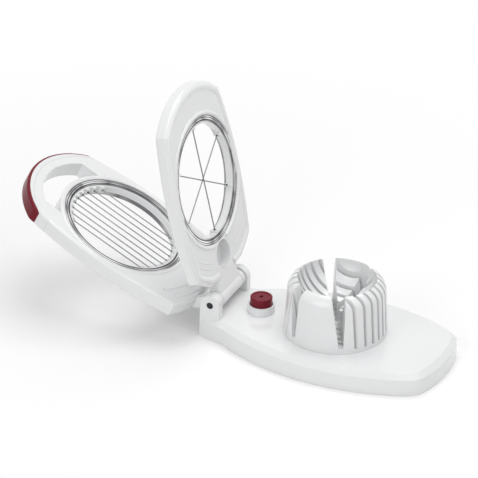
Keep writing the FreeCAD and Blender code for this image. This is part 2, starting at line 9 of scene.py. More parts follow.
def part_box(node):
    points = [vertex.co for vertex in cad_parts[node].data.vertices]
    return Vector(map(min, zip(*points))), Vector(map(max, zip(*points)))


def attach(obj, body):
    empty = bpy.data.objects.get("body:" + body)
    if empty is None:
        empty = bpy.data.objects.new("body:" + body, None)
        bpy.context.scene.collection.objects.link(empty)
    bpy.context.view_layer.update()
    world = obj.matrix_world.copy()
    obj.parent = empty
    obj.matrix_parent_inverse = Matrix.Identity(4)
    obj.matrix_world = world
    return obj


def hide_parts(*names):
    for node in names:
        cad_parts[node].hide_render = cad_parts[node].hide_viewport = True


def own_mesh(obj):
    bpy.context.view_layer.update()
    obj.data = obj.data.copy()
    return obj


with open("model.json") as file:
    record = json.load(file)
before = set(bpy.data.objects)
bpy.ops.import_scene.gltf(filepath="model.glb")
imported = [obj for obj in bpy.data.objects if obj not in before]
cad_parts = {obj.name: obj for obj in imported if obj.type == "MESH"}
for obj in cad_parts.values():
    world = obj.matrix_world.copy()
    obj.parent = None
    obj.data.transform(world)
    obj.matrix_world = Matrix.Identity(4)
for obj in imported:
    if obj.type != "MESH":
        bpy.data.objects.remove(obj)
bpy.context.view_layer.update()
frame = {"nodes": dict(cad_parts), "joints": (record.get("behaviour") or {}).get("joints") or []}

bl_info = {
    "name": "Egg Slicer Finish",
    "version": (1, 0, 0),
    "blender": (4, 5, 0),
    "location": "View3D > Sidebar > Egg Slicer",
    "description": "Finishes, small mouldings, spring and studio for the egg slicer",
    "category": "Object",
}

WHITE_NODES = ("base_shell", "egg_cradle", "needle_holder", "slicer_frame", "slicer_tooth_ring",
               "wedger_frame", "wedger_tooth_ring")
ARM_WIRES = {
    "slicer": tuple("slicer_wire_%d" % number for number in range(1, 10)),
    "wedger": tuple("wedger_wire_%d" % number for number in range(1, 4)),
}
DRAWN_NODES = ARM_WIRES["slicer"] + ARM_WIRES["wedger"] + ("piercer_needle", "piercer_spring")

# Roughness, coat weight and specular level of each moulded finish.
WHITE_GLOSS = (0.13, 0.25, 0.5)
BURGUNDY_GLOSS = (0.28, 0.0, 0.2)
SKINNED_GLOSS = (0.24, 0.0, 0.2)
COAT_ROUGHNESS = 0.04
PLASTIC_IOR = 1.5
BEVEL_SAMPLES = 6
# Scale and detail of each noise.
FLOW_NOISE = (38.0, 3.0)
GRAIN_NOISE = (1400.0, 2.0)
REFLECTION_STREAK_NOISE = (42.0, 1.0)
MARK_NOISE = (1.0, 2.0)
FLOW_SHADE = 0.965
FLOW_ROUGHNESS = 0.06
GRAIN_STRENGTH = 0.03
GRAIN_DEPTH = 0.0002
SKIN_EDGE = 0.0001
# Places across a band, from its inner to its outer edge, and the colour there; the dark lines are painted
# shadow where the band meets the mouldings and a painted shadow line down its middle.
BAND_PROFILE = ((0.00, "wall"), (0.04, "wall"), (0.06, "seam"), (0.22, "seam"), (0.30, "steel"),
                (0.50, "steel"), (0.56, "seam"), (0.64, "seam"), (0.70, "steel"), (0.86, "steel"),
                (0.93, "seam"))
# Painted shade that darkens the band's inner wall.
PAINTED_WALL_SHADE = 0.6
# Values of the streak noise and the shade there, a painted reflection on the polished steel.
PAINTED_REFLECTION_STOPS = ((0.40, (1.0, 1.0, 1.0)), (0.56, (0.32, 0.32, 0.33)), (0.66, (0.9, 0.9, 0.9)))
BAND_ROUGHNESS = 0.10
STREAK_ROUGHNESS = 0.08
DRAWING_SCALE = (120.0, 2400.0, 900.0)
WIRE_ROUGHNESS = 0.16
CRIMP_ROUGHNESS = 0.30
MARK_ROUGHNESS = 0.10
# Places of a colour Mix node's factor, first colour and second colour, and of its result.
MIX_INPUTS = (0, 6, 7)
MIX_RESULT = 2
RAMP_MIDDLE = 0.5

BEAD_SUBDIVISIONS = 2
SECTION_SIDES = 20
ARC_STEPS = 160
FEWEST_ARC_STEPS = 8
COIL_STEPS = 24
CORNER_STEPS = 6
SHARP_TURN = math.radians(15.0)
LEAST_MITRE_COSINE = 0.5
FLAT_TOLERANCE = 2e-5
CROWN_TOLERANCE = 1e-4
MATCHING_DIGITS = 6
FULL_TURN = 360.0
# Angle towards the hinge from a point of an arm's middle line, in degrees.
TOWARDS_HINGE = 180.0
# Radius about the band's centre, first angle and sweep in degrees of each rib on an arm's neck.
NECK_RIBS = {
    "slicer": ((0.0513, -34.0, 68.0), (0.0578, -29.0, 58.0)),
    "wedger": ((0.0478, 17.0, 20.0), (0.0478, -37.0, 20.0), (0.0512, 19.0, 16.0), (0.0512, -35.0, 16.0)),
}
# Height of an arm's ribs, height of its collar, and half of the collar's opening at the neck in degrees.
ARM_LEDGES = {"slicer": (0.0005, 0.0004, 0.0), "wedger": (0.00015, 0.0008, 11.0)}

PHOTO_PIXELS = 478
SENSOR_WIDTH = 36.0
FAR_CLIP = 100.0
AIM_POINT = (0.0, 0.0, 0.05)
# Name, place, size and power setting of each lamp.
LAMPS = (
    ("key_lamp", (0.05, 0.30, 1.10), 1.0, "key_power"),
    ("front_lamp", (-0.2, -1.0, 0.6), 0.8, "front_power"),
    ("side_lamp", (0.8, -0.35, 0.95), 1.2, "side_power"),
)
FLOOR_HALF = 3.0
FLOOR_COLOUR = (0.93, 0.93, 0.93, 1.0)
FLOOR_ROUGHNESS = 0.6
FLOOR_GLOSS = 0.1
PURE_WHITE = (1.0, 1.0, 1.0, 1.0)

Band = namedtuple("Band", "centre face inner outer")


class FinishSettings(bpy.types.PropertyGroup):
    """Colours and sizes of the finishes and small mouldings."""

    white: bpy.props.FloatVectorProperty(
        name="White", description="Colour of the white mouldings", subtype="COLOR", size=3,
        default=(0.82, 0.825, 0.83), min=0.0, max=1.0)
    burgundy: bpy.props.FloatVectorProperty(
        name="Burgundy", description="Colour of the grip and the cap", subtype="COLOR", size=3,
        default=(0.165, 0.004, 0.015), min=0.0, max=1.0)
    steel: bpy.props.FloatVectorProperty(
        name="Steel", description="Colour of the bright part of the bands", subtype="COLOR", size=3,
        default=(0.92, 0.92, 0.93), min=0.0, max=1.0)
    wire_steel: bpy.props.FloatVectorProperty(
        name="Wire steel", description="Colour of the drawn wires, needle and spring", subtype="COLOR",
        size=3, default=(0.22, 0.22, 0.225), min=0.0, max=1.0)
    # The beads and pin are dark steel; on the bands this colour is painted shadow lines.
    seam: bpy.props.FloatVectorProperty(
        name="Seam", description="Colour of the bands' dark lines, the beads and the pin", subtype="COLOR",
        size=3, default=(0.05, 0.05, 0.055), min=0.0, max=1.0)
    loop_centre: bpy.props.FloatProperty(
        name="Loop centre", description="Distance from the hinge to the middle of the loop's end arc",
        default=0.0874, unit="LENGTH")
    loop_radius: bpy.props.FloatProperty(
        name="Loop radius", description="Radius of the loop's outer edge", default=0.045, unit="LENGTH")
    skin_depth: bpy.props.FloatProperty(
        name="Skin depth", description="Depth of the burgundy skin on the loop's outer edge",
        default=0.0017, min=0.0, unit="LENGTH")
    ring_recess: bpy.props.FloatProperty(
        name="Ring recess", description="Depth of a band below the face of its arm",
        default=0.0005, unit="LENGTH")
    rib_radius: bpy.props.FloatProperty(
        name="Rib radius", description="Radius of the rounded ribs on the necks",
        default=0.0015, unit="LENGTH")
    collar_radius: bpy.props.FloatProperty(
        name="Collar radius", description="Radius of the round collars beside the bands",
        default=0.0014, unit="LENGTH")
    collar_clearance: bpy.props.FloatProperty(
        name="Collar clearance", description="Distance between a band and its collar",
        default=0.0002, unit="LENGTH")
    lip_radius: bpy.props.FloatProperty(
        name="Lip radius", description="Radius of the wedging arm's rounded lip",
        default=0.0030, unit="LENGTH")
    lip_height: bpy.props.FloatProperty(
        name="Lip height", description="Height of the lip above the arm's face",
        default=0.0009, unit="LENGTH")
    lip_inset: bpy.props.FloatProperty(
        name="Lip inset", description="Distance of the lip's middle from the edge of the arm's flat face",
        default=0.0016, unit="LENGTH")
    lip_start: bpy.props.FloatProperty(
        name="Lip start", description="Distance from the hinge at which the lip starts",
        default=0.013, unit="LENGTH")
    lip_corner: bpy.props.FloatProperty(
        name="Lip corner", description="Length by which the lip's corners are rounded",
        default=0.006, unit="LENGTH")
    cap_rim_radius: bpy.props.FloatProperty(
        name="Cap rim radius", description="Radius of the round rim on the piercer cap",
        default=0.0009, unit="LENGTH")
    cap_rim_height: bpy.props.FloatProperty(
        name="Cap rim height", description="Height of the rim above the piercer cap",
        default=0.00045, unit="LENGTH")
    coil_wire: bpy.props.FloatProperty(
        name="Coil wire", description="Radius of the spring's wire", default=0.0004, unit="LENGTH")
    coil_turns: bpy.props.IntProperty(
        name="Coil turns", description="Turns of the spring", default=5, min=1)
    edge_softness: bpy.props.FloatProperty(
        name="Edge softness", description="Radius by which the light softens moulded edges",
        default=0.0006, min=0.0, unit="LENGTH")
    bead_radius: bpy.props.FloatProperty(
        name="Bead radius", description="Radius of the bead where a wire enters its tooth",
        default=0.0006, min=0.0001, unit="LENGTH")
    bead_inset: bpy.props.FloatProperty(
        name="Bead inset", description="Distance of the bead from the end of the wire",
        default=0.0022, min=0.0, unit="LENGTH")


class StudioSettings(bpy.types.PropertyGroup):
    """Camera and light of the studio."""

    azimuth: bpy.props.FloatProperty(
        name="Azimuth", description="Angle of the camera round the object",
        default=math.radians(23.5), subtype="ANGLE")
    elevation: bpy.props.FloatProperty(
        name="Elevation", description="Angle of the camera above the table",
        default=math.radians(28.7), subtype="ANGLE")
    roll: bpy.props.FloatProperty(
        name="Roll", description="Turn of the camera about its own axis",
        default=math.radians(1.77), subtype="ANGLE")
    distance: bpy.props.FloatProperty(
        name="Distance", description="Distance from the camera to its target",
        default=4.564, unit="LENGTH")
    target: bpy.props.FloatVectorProperty(
        name="Target", description="Point that the camera looks at",
        default=(0.00763, 0.0, 0.0561), subtype="TRANSLATION", unit="LENGTH")
    focal_pixels: bpy.props.FloatProperty(
        name="Focal length", description="Focal length in pixels of the photograph",
        default=7971.0, min=100.0)
    ambient: bpy.props.FloatProperty(
        name="Ambient", description="Strength of the even light of the room", default=0.40, min=0.0)
    key_power: bpy.props.FloatProperty(
        name="Key power", description="Power of the large lamp above", default=6.8, min=0.0, unit="POWER")
    front_power: bpy.props.FloatProperty(
        name="Front power", description="Power of the lamp in front", default=3.2, min=0.0, unit="POWER")
    side_power: bpy.props.FloatProperty(
        name="Side power", description="Power of the lamp at the right", default=3.1, min=0.0, unit="POWER")
    floor_lift: bpy.props.FloatProperty(
        name="Floor lift", description="White that the floor shows to the camera beside its own light",
        default=0.03, min=0.0, max=1.0)
    fade_start: bpy.props.FloatProperty(
        name="Fade start", description="Distance from the middle at which the floor starts to turn white",
        default=0.15, min=0.0, unit="LENGTH")
    fade_end: bpy.props.FloatProperty(
        name="Fade end", description="Distance from the middle at which the floor is white",
        default=0.36, min=0.0, unit="LENGTH")


class Term:
    """A shader value on which Python's operators add Math nodes."""

    def __init__(self, tree, socket):
        self.tree = tree
        self.socket = socket

    def _math(self, operation, first, second):
        """Adds one Math node."""
        node = self.tree.nodes.new("ShaderNodeMath")
        node.operation = operation
        for index, part in enumerate((first, second)):
            if isinstance(part, Term):
                self.tree.links.new(part.socket, node.inputs[index])
            else:
                node.inputs[index].default_value = part
        return Term(self.tree, node.outputs[0])

    def __add__(self, other):
        return self._math("ADD", self, other)

    def __radd__(self, other):
        return self._math("ADD", other, self)

    def __sub__(self, other):
        return self._math("SUBTRACT", self, other)

    def __rsub__(self, other):
        return self._math("SUBTRACT", other, self)

    def __mul__(self, other):
        return self._math("MULTIPLY", self, other)

    def __rmul__(self, other):
        return self._math("MULTIPLY", other, self)

    def __pow__(self, other):
        return self._math("POWER", self, other)


class Recipe:
    """Builds one shader tree."""

    def __init__(self, tree):
        self.tree = tree
        tree.nodes.clear()

    def node(self, kind, options=None, **values):
        """Adds a node, sets its options and then its sockets by name."""
        made = self.tree.nodes.new(kind)
        for name, option in (options or {}).items():
            if name == "stops":
                set_stops(made.color_ramp, option)
            else:
                setattr(made, name, option)
        for name, part in values.items():
            self.feed(made.inputs[name.replace("_", " ")], part)
        return made

    def feed(self, socket, part):
        """Links a term or sets a plain value."""
        if isinstance(part, Term):
            self.tree.links.new(part.socket, socket)
        else:
            socket.default_value = part

    def term(self, node, output):
        """Wraps a node's output."""
        return Term(self.tree, node.outputs[output])

    def noise(self, place, scale, detail):
        """Returns a noise value."""
        return self.term(self.node("ShaderNodeTexNoise", Vector=place, Scale=scale, Detail=detail), "Fac")

    def step(self, value, start, end):
        """Returns a smooth rise from 0 to 1 as a value goes from start to end."""
        rise = self.node("ShaderNodeMapRange", {"interpolation_type": "SMOOTHSTEP"}, Value=value,
                         From_Min=start, From_Max=end)
        return self.term(rise, "Result")

    def colour(self, factor, first, second, blend_type="MIX"):
        """Returns two colours mixed."""
        mix = self.node("ShaderNodeMix", {"data_type": "RGBA", "blend_type": blend_type})
        for index, part in zip(MIX_INPUTS, (factor, first, second)):
            self.feed(mix.inputs[index], part)
        return self.term(mix, MIX_RESULT)

    def blend(self, factor, first, second):
        """Returns two shaders mixed."""
        mix = self.node("ShaderNodeMixShader")
        for socket, part in zip(mix.inputs, (factor, first, second)):
            self.feed(socket, part)
        return self.term(mix, "Shader")


def settings():
    """Returns the scene's finish settings."""
    return bpy.context.scene.egg_slicer_finish


def opaque(colour):
    """Returns a colour with full opacity."""
    return tuple(colour) + (1.0,)


def shade(colour, share):
    """Returns a darker colour."""
    return tuple(channel * share for channel in colour)


def set_stops(ramp, stops):
    """Gives a ramp its stops, each a position and a colour."""
    while len(ramp.elements) < len(stops):
        ramp.elements.new(RAMP_MIDDLE)
    for element, (position, colour) in zip(ramp.elements, stops):
        element.position = position
        element.color = opaque(colour)


def flat_length(along, across):
    """Returns the length of a flat vector."""
    return (along * along + across * across) ** 0.5


def start_material(name):
    """Makes an empty material and returns it with its recipe and object coordinates."""
    material = bpy.data.materials.new(name)
    material.use_nodes = True
    recipe = Recipe(material.node_tree)
    place = recipe.term(recipe.node("ShaderNodeTexCoord"), "Object")
    return material, recipe, place


def joint_record(name):
    """Returns the record of one joint."""
    return next(joint for joint in frame["joints"] if joint["name"] == name)


def arm_matrix(arm):
    """Returns the matrix from an arm lying closed, with its hinge at the origin, to the arm at rest."""
    joint = joint_record(arm + "_hinge")
    turn = Matrix.Rotation(-math.radians(joint["range_deg"][1]), 4, Vector(joint["axis"]))
    return Matrix.Translation(Vector(joint["pos_m"])) @ turn


def band_sizes(arm):
    """Returns a band's centre along its arm, its egg-side face, and its inner and outer radius."""
    closed = arm_matrix(arm).inverted()
    points = [closed @ vertex.co for vertex in frame["nodes"][arm + "_ring"].data.vertices]
    low = min(point.x for point in points)
    high = max(point.x for point in points)
    centre = (low + high) / 2
    inner = min(math.hypot(point.x - centre, point.y) for point in points)
    return Band(centre, min(point.z for point in points), inner, (high - low) / 2)


def distance_from(recipe, place, arm, centre):
    """Returns the distance, in the plane of an arm, from a point on its middle line."""
    joint = joint_record(arm + "_hinge")
    turn = (0.0, -math.radians(joint["range_deg"][1]), 0.0)
    local = recipe.node("ShaderNodeMapping", {"vector_type": "TEXTURE"}, Vector=place,
                        Location=tuple(joint["pos_m"]), Rotation=turn)
    split = recipe.node("ShaderNodeSeparateXYZ", Vector=recipe.term(local, "Vector"))
    return flat_length(recipe.term(split, "X") - centre, recipe.term(split, "Y"))


def loop_skin(recipe, place):
    """Returns 1 on the outer skin of the loop and 0 inside it."""
    finish = settings()
    reach = distance_from(recipe, place, "slicer", finish.loop_centre)
    start = finish.loop_radius - finish.skin_depth
    return recipe.step(reach, start, start + SKIN_EDGE)


def moulded_plastic(name, colour, gloss, skin=None):
    """Gloss moulding with a faint flow texture, softened edges and, where one is given, a burgundy skin."""
    roughness, coat, specular = gloss
    material, recipe, place = start_material(name)
    flow = recipe.noise(place, *FLOW_NOISE)
    grain = recipe.noise(place, *GRAIN_NOISE)
    tint = recipe.colour(flow, opaque(shade(colour, FLOW_SHADE)), opaque(colour))
    if skin is not None:
        tint = recipe.colour(skin(recipe, place), tint, opaque(settings().burgundy))
    soft = recipe.node("ShaderNodeBevel", {"samples": BEVEL_SAMPLES}, Radius=settings().edge_softness)
    bump = recipe.node("ShaderNodeBump", Height=grain, Normal=recipe.term(soft, "Normal"),
                       Strength=GRAIN_STRENGTH, Distance=GRAIN_DEPTH)
    shader = recipe.node("ShaderNodeBsdfPrincipled", Base_Color=tint, Normal=recipe.term(bump, "Normal"),
                         Roughness=roughness + flow * FLOW_ROUGHNESS, IOR=PLASTIC_IOR,
                         Specular_IOR_Level=specular, Coat_Weight=coat, Coat_Roughness=COAT_ROUGHNESS)
    recipe.node("ShaderNodeOutputMaterial", Surface=recipe.term(shader, "BSDF"))
    return material


def polished_band(name, arm):
    """Polished band; painted shade darkens its inner wall, painted shadow lines run at its edges and down its
    middle, and slow dark bands of painted reflection cross it.
    """
    material, recipe, place = start_material(name)
    band = band_sizes(arm)
    finish = settings()
    # The wall colour is painted shade and the dark lines are painted shadow.
    colours = {"wall": shade(finish.steel, PAINTED_WALL_SHADE), "seam": finish.seam, "steel": finish.steel}
    across = (distance_from(recipe, place, arm, band.centre) - band.inner) * (1.0 / (band.outer - band.inner))
    profile = [(position, colours[part]) for position, part in BAND_PROFILE]
    rings = recipe.node("ShaderNodeValToRGB", {"stops": profile}, Fac=across)
    # Slow dark bands of painted reflection across the polished steel.
    reflection_streaks = recipe.noise(place, *REFLECTION_STREAK_NOISE)
    painted_reflections = recipe.node("ShaderNodeValToRGB", {"stops": PAINTED_REFLECTION_STOPS}, Fac=reflection_streaks)
    tint = recipe.colour(1.0, recipe.term(rings, "Color"), recipe.term(painted_reflections, "Color"), "MULTIPLY")
    shader = recipe.node("ShaderNodeBsdfPrincipled", Base_Color=tint, Metallic=1.0,
                         Roughness=BAND_ROUGHNESS + reflection_streaks * STREAK_ROUGHNESS)
    recipe.node("ShaderNodeOutputMaterial", Surface=recipe.term(shader, "BSDF"))
    return material


def drawn_steel(name, colour, roughness):
    """Steel with fine drawing marks."""
    material, recipe, place = start_material(name)
    stretch = recipe.node("ShaderNodeMapping", Vector=place, Scale=DRAWING_SCALE)
    marks = recipe.noise(recipe.term(stretch, "Vector"), *MARK_NOISE)
    shader = recipe.node("ShaderNodeBsdfPrincipled", Base_Color=opaque(colour), Metallic=1.0,
                         Roughness=roughness + marks * MARK_ROUGHNESS)
    recipe.node("ShaderNodeOutputMaterial", Surface=recipe.term(shader, "BSDF"))
    return material


def dress(names, material):
    """Gives CAD nodes one material."""
    for name in names:
        node = frame["nodes"][name]
        node.data.materials.clear()
        node.data.materials.append(material)


class EGGSLICER_OT_white_mouldings(bpy.types.Operator):
    """Finish the white mouldings."""

    bl_idname = "eggslicer.white_mouldings"
    bl_label = "White Mouldings"

    def execute(self, context):
        dress(WHITE_NODES, moulded_plastic("white_gloss_moulding", settings().white, WHITE_GLOSS))
        return {"FINISHED"}


class EGGSLICER_OT_burgundy_pieces(bpy.types.Operator):
    """Finish the grip and the piercer cap."""

    bl_idname = "eggslicer.burgundy_pieces"
    bl_label = "Burgundy Pieces"

    def execute(self, context):
        finish = settings()
        dress(("piercer_cap",), moulded_plastic("burgundy_gloss_moulding", finish.burgundy, BURGUNDY_GLOSS))
        dress(("handle_grip",), moulded_plastic("white_moulding_with_burgundy_skin", finish.white,
                                                SKINNED_GLOSS, loop_skin))
        return {"FINISHED"}


class EGGSLICER_OT_steel_pieces(bpy.types.Operator):
    """Finish the bands, wires, pin, needle and spring."""

    bl_idname = "eggslicer.steel_pieces"
    bl_label = "Steel Pieces"

    def execute(self, context):
        finish = settings()
        for arm in ARM_WIRES:
            dress((arm + "_ring",), polished_band("polished_%s_band" % arm, arm))
        dress(DRAWN_NODES, drawn_steel("drawn_wire_steel", finish.wire_steel, WIRE_ROUGHNESS))
        dress(("hinge_pin",), drawn_steel("dark_crimped_steel", finish.seam, CRIMP_ROUGHNESS))
        return {"FINISHED"}


def growth_tree(name, grow):
    """Builds a node tree that grows beads or rods of one radius and finish on a mesh."""
    tree = bpy.data.node_groups.new(name, "GeometryNodeTree")
    face = tree.interface
    face.new_socket("Geometry", in_out="INPUT", socket_type="NodeSocketGeometry")
    radius = face.new_socket("Radius", in_out="INPUT", socket_type="NodeSocketFloat")
    finish = face.new_socket("Finish", in_out="INPUT", socket_type="NodeSocketMaterial")
    face.new_socket("Geometry", in_out="OUTPUT", socket_type="NodeSocketGeometry")
    entry = tree.nodes.new("NodeGroupInput")
    solid = tree.nodes.new("GeometryNodeRealizeInstances")
    paint = tree.nodes.new("GeometryNodeSetMaterial")
    leave = tree.nodes.new("NodeGroupOutput")
    link = tree.links.new
    link(grow(tree, entry.outputs["Geometry"], entry.outputs["Radius"]), solid.inputs["Geometry"])
    link(solid.outputs["Geometry"], paint.inputs["Geometry"])
    link(entry.outputs["Finish"], paint.inputs["Material"])
    link(paint.outputs["Geometry"], leave.inputs["Geometry"])
    return tree, radius.identifier, finish.identifier


def beads_on_points(tree, points, radius):
    """Adds the nodes that set a bead on every point."""
    bead = tree.nodes.new("GeometryNodeMeshIcoSphere")
    bead.inputs["Subdivisions"].default_value = BEAD_SUBDIVISIONS
    smooth = tree.nodes.new("GeometryNodeSetShadeSmooth")
    spread = tree.nodes.new("GeometryNodeInstanceOnPoints")
    link = tree.links.new
    link(radius, bead.inputs["Radius"])
    link(bead.outputs["Mesh"], smooth.inputs["Geometry"])
    link(points, spread.inputs["Points"])
    link(smooth.outputs["Geometry"], spread.inputs["Instance"])
    return spread.outputs["Instances"]


def rods_on_lines(tree, lines, radius):
    """Adds the nodes that sweep a round section along every line."""
    curve = tree.nodes.new("GeometryNodeMeshToCurve")
    section = tree.nodes.new("GeometryNodeCurvePrimitiveCircle")
    section.inputs["Resolution"].default_value = SECTION_SIDES
    sweep = tree.nodes.new("GeometryNodeCurveToMesh")
    sweep.inputs["Fill Caps"].default_value = True
    smooth = tree.nodes.new("GeometryNodeSetShadeSmooth")
    link = tree.links.new
    link(lines, curve.inputs["Mesh"])
    link(radius, section.inputs["Radius"])
    link(curve.outputs["Curve"], sweep.inputs["Curve"])
    link(section.outputs["Curve"], sweep.inputs["Profile Curve"])
    link(sweep.outputs["Mesh"], smooth.inputs["Geometry"])
    return smooth.outputs["Geometry"]


def grown(name, built, points, edges, radius, finish):
    """Returns an object whose plain mesh a growth tree makes from points and edges."""
    tree, radius_key, finish_key = built
    seed = bpy.data.meshes.new(name)
    seed.from_pydata(points, edges, [])
    piece = bpy.data.objects.new(name, seed)
    bpy.context.collection.objects.link(piece)
    modifier = piece.modifiers.new("Growth", "NODES")
    modifier.node_group = tree
    modifier[radius_key] = radius
    modifier[finish_key] = bpy.data.materials[finish]
    bpy.context.view_layer.update()
    graph = bpy.context.evaluated_depsgraph_get()
    made = bpy.data.meshes.new_from_object(piece.evaluated_get(graph), depsgraph=graph)
    piece.modifiers.remove(modifier)
    piece.data = made
    made.name = name
    return piece


def chain(first, count, closed=False):
    """Returns the edges of a line of points that starts at an index."""
    edges = [(index, index + 1) for index in range(first, first + count - 1)]
    return edges + [(first + count - 1, first)] if closed else edges


def wire_ends(name):
    """Returns the two end points of a wire's axis."""
    points = [vertex.co.copy() for vertex in frame["nodes"][name].data.vertices]
    middle = sum(points, Vector()) / len(points)
    far = max(points, key=lambda point: (point - middle).length)
    along = (far - middle).normalized()
    reach = max((point - middle).dot(along) for point in points)
    side = [point for point in points if (point - middle).dot(along) > reach / 2]
    end = sum(side, Vector()) / len(side)
    along = (end - middle).normalized()
    reach = max((point - middle).dot(along) for point in points)
    return middle - along * reach, middle + along * reach


class EGGSLICER_OT_wire_beads(bpy.types.Operator):
    """Set a bead where each wire enters its tooth."""

    bl_idname = "eggslicer.wire_beads"
    bl_label = "Wire Beads"

    def execute(self, context):
        built = growth_tree("wire_beads", beads_on_points)
        finish = settings()
        for arm, wires in ARM_WIRES.items():
            points = []
            for wire in wires:
                first, last = wire_ends(wire)
                inset = (last - first).normalized() * finish.bead_inset
                points += [first + inset, last - inset]
            piece = grown(arm + "_wire_beads", built, points, [], finish.bead_radius, "dark_crimped_steel")
            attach(piece, arm)
        return {"FINISHED"}


def arc_line(centre, radius, first, sweep):
    """Returns points on an arc about a point of the middle line; a whole turn doesn't repeat its start."""
    steps = max(FEWEST_ARC_STEPS, round(ARC_STEPS * sweep / FULL_TURN))
    count = steps if sweep >= FULL_TURN else steps + 1
    angles = [math.radians(TOWARDS_HINGE + first + sweep * step / steps) for step in range(count)]
    return [(centre + radius * math.cos(angle), radius * math.sin(angle)) for angle in angles]


def face_edge(arm, level):
    """Returns the outer edge of an arm's flat egg side as a loop of points, lying closed."""
    closed = arm_matrix(arm).inverted()
    mesh = frame["nodes"][arm + "_frame"].data
    sides = {}
    for polygon in mesh.polygons:
        corners = [closed @ mesh.vertices[index].co for index in polygon.vertices]
        if all(abs(corner.z - level) < FLAT_TOLERANCE for corner in corners):
            keys = [tuple(round(value, MATCHING_DIGITS) for value in corner.xy) for corner in corners]
            sides.update(dict.fromkeys(zip(keys, keys[1:] + keys[:1])))
    follow = {first: last for first, last in sides if (last, first) not in sides and first != last}
    loops = []
    while follow:
        start, point = follow.popitem()
        loop = [start]
        while point != start:
            loop.append(point)
            point = follow.pop(point)
        loops.append(loop)
    return max(loops, key=lambda loop: sum(math.dist(a, b) for a, b in zip(loop, loop[1:])))


def lip_line(arm, level, inset, start):
    """Returns the outer edge of an arm drawn inward, from one side of its neck round its end to the other."""
    loop = []
    for point in face_edge(arm, level):
        if not loop or min(math.dist(point, loop[0]), math.dist(point, loop[-1])) > inset:
            loop.append(point)
    middle = Vector((sum(x for x, _ in loop) / len(loop), 0.0))
    drawn = []
    for index, point in enumerate(loop):
        here = Vector(point)
        before = (here - Vector(loop[index - 1])).normalized()
        after = (Vector(loop[(index + 1) % len(loop)]) - here).normalized()
        along = (before + after).normalized()
        inward = Vector((-along.y, along.x))
        if inward.dot(middle - here) < 0.0:
            inward = -inward
        drawn.append(here + inward * inset / max(LEAST_MITRE_COSINE, along.dot(after)))
    kept = [point.x > start for point in drawn]
    first = next(index for index in range(len(drawn)) if kept[index] and not kept[index - 1])
    turned = drawn[first:] + drawn[:first]
    return [tuple(point) for point in turned if point.x > start]


def eased(line, reach):
    """Returns a line with its sharp corners rounded."""
    made = [line[0]]
    for before, here, after in zip(line, line[1:], line[2:]):
        before, here, after = Vector(before), Vector(here), Vector(after)
        if (here - before).angle(after - here) < SHARP_TURN:
            made.append(tuple(here))
            continue
        first = here + (before - here).normalized() * min(reach, (before - here).length / 2)
        last = here + (after - here).normalized() * min(reach, (after - here).length / 2)
        for step in range(CORNER_STEPS + 1):
            share = step / CORNER_STEPS
            made.append(tuple(first.lerp(here, share).lerp(here.lerp(last, share), share)))
    return made + [line[-1]]


def set_ledges(name, built, arm, lines, radius, height, closed=False):
    """Adds rounded white ledges along lines on the egg side of an arm."""
    level = band_sizes(arm).face - settings().ring_recess + radius - height
    place = arm_matrix(arm)
    points, edges = [], []
    for line in lines:
        edges += chain(len(points), len(line), closed)
        points += [place @ Vector((along, across, level)) for along, across in line]
    piece = grown(name, built, points, edges, radius, "white_gloss_moulding")
    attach(piece, arm)


class EGGSLICER_OT_arm_ledges(bpy.types.Operator):
    """Raise the neck ribs, the collars round the bands and the wedging arm's lip."""

    bl_idname = "eggslicer.arm_ledges"
    bl_label = "Arm Ledges"

    def execute(self, context):
        built = growth_tree("swept_ledges", rods_on_lines)
        finish = settings()
        for arm, (rib_height, collar_height, opening) in ARM_LEDGES.items():
            band = band_sizes(arm)
            ribs = [arc_line(band.centre, *rib) for rib in NECK_RIBS[arm]]
            set_ledges(arm + "_neck_ribs", built, arm, ribs, finish.rib_radius, rib_height)
            reach = band.outer + finish.collar_radius + finish.collar_clearance
            ring = arc_line(band.centre, reach, opening, FULL_TURN - 2 * opening)
            set_ledges(arm + "_collar", built, arm, [ring], finish.collar_radius, collar_height,
                       closed=opening == 0.0)
        flat = band_sizes("wedger").face - finish.ring_recess
        lip = eased(lip_line("wedger", flat, finish.lip_inset, finish.lip_start), finish.lip_corner)
        set_ledges("wedger_lip", built, "wedger", [lip], finish.lip_radius, finish.lip_height)
        return {"FINISHED"}


class EGGSLICER_OT_cap_rim(bpy.types.Operator):
    """Raise a round rim on the piercer cap."""

    bl_idname = "eggslicer.cap_rim"
    bl_label = "Cap Rim"

    def execute(self, context):
        finish = settings()
        mesh = frame["nodes"]["piercer_cap"].data
        top = max(vertex.co.z for vertex in mesh.vertices)
        crown = [vertex.co.x for vertex in mesh.vertices if vertex.co.z > top - CROWN_TOLERANCE]
        low, high = min(crown), max(crown)
        ring = arc_line((low + high) / 2, (high - low) / 2 - finish.cap_rim_radius, 0.0, FULL_TURN)
        level = top + finish.cap_rim_height - finish.cap_rim_radius
        points = [(along, across, level) for along, across in ring]
        rim = grown("piercer_cap_rim", growth_tree("swept_rim", rods_on_lines), points,
                    chain(0, len(points), closed=True), finish.cap_rim_radius, "burgundy_gloss_moulding")
        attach(rim, "piercer")
        return {"FINISHED"}


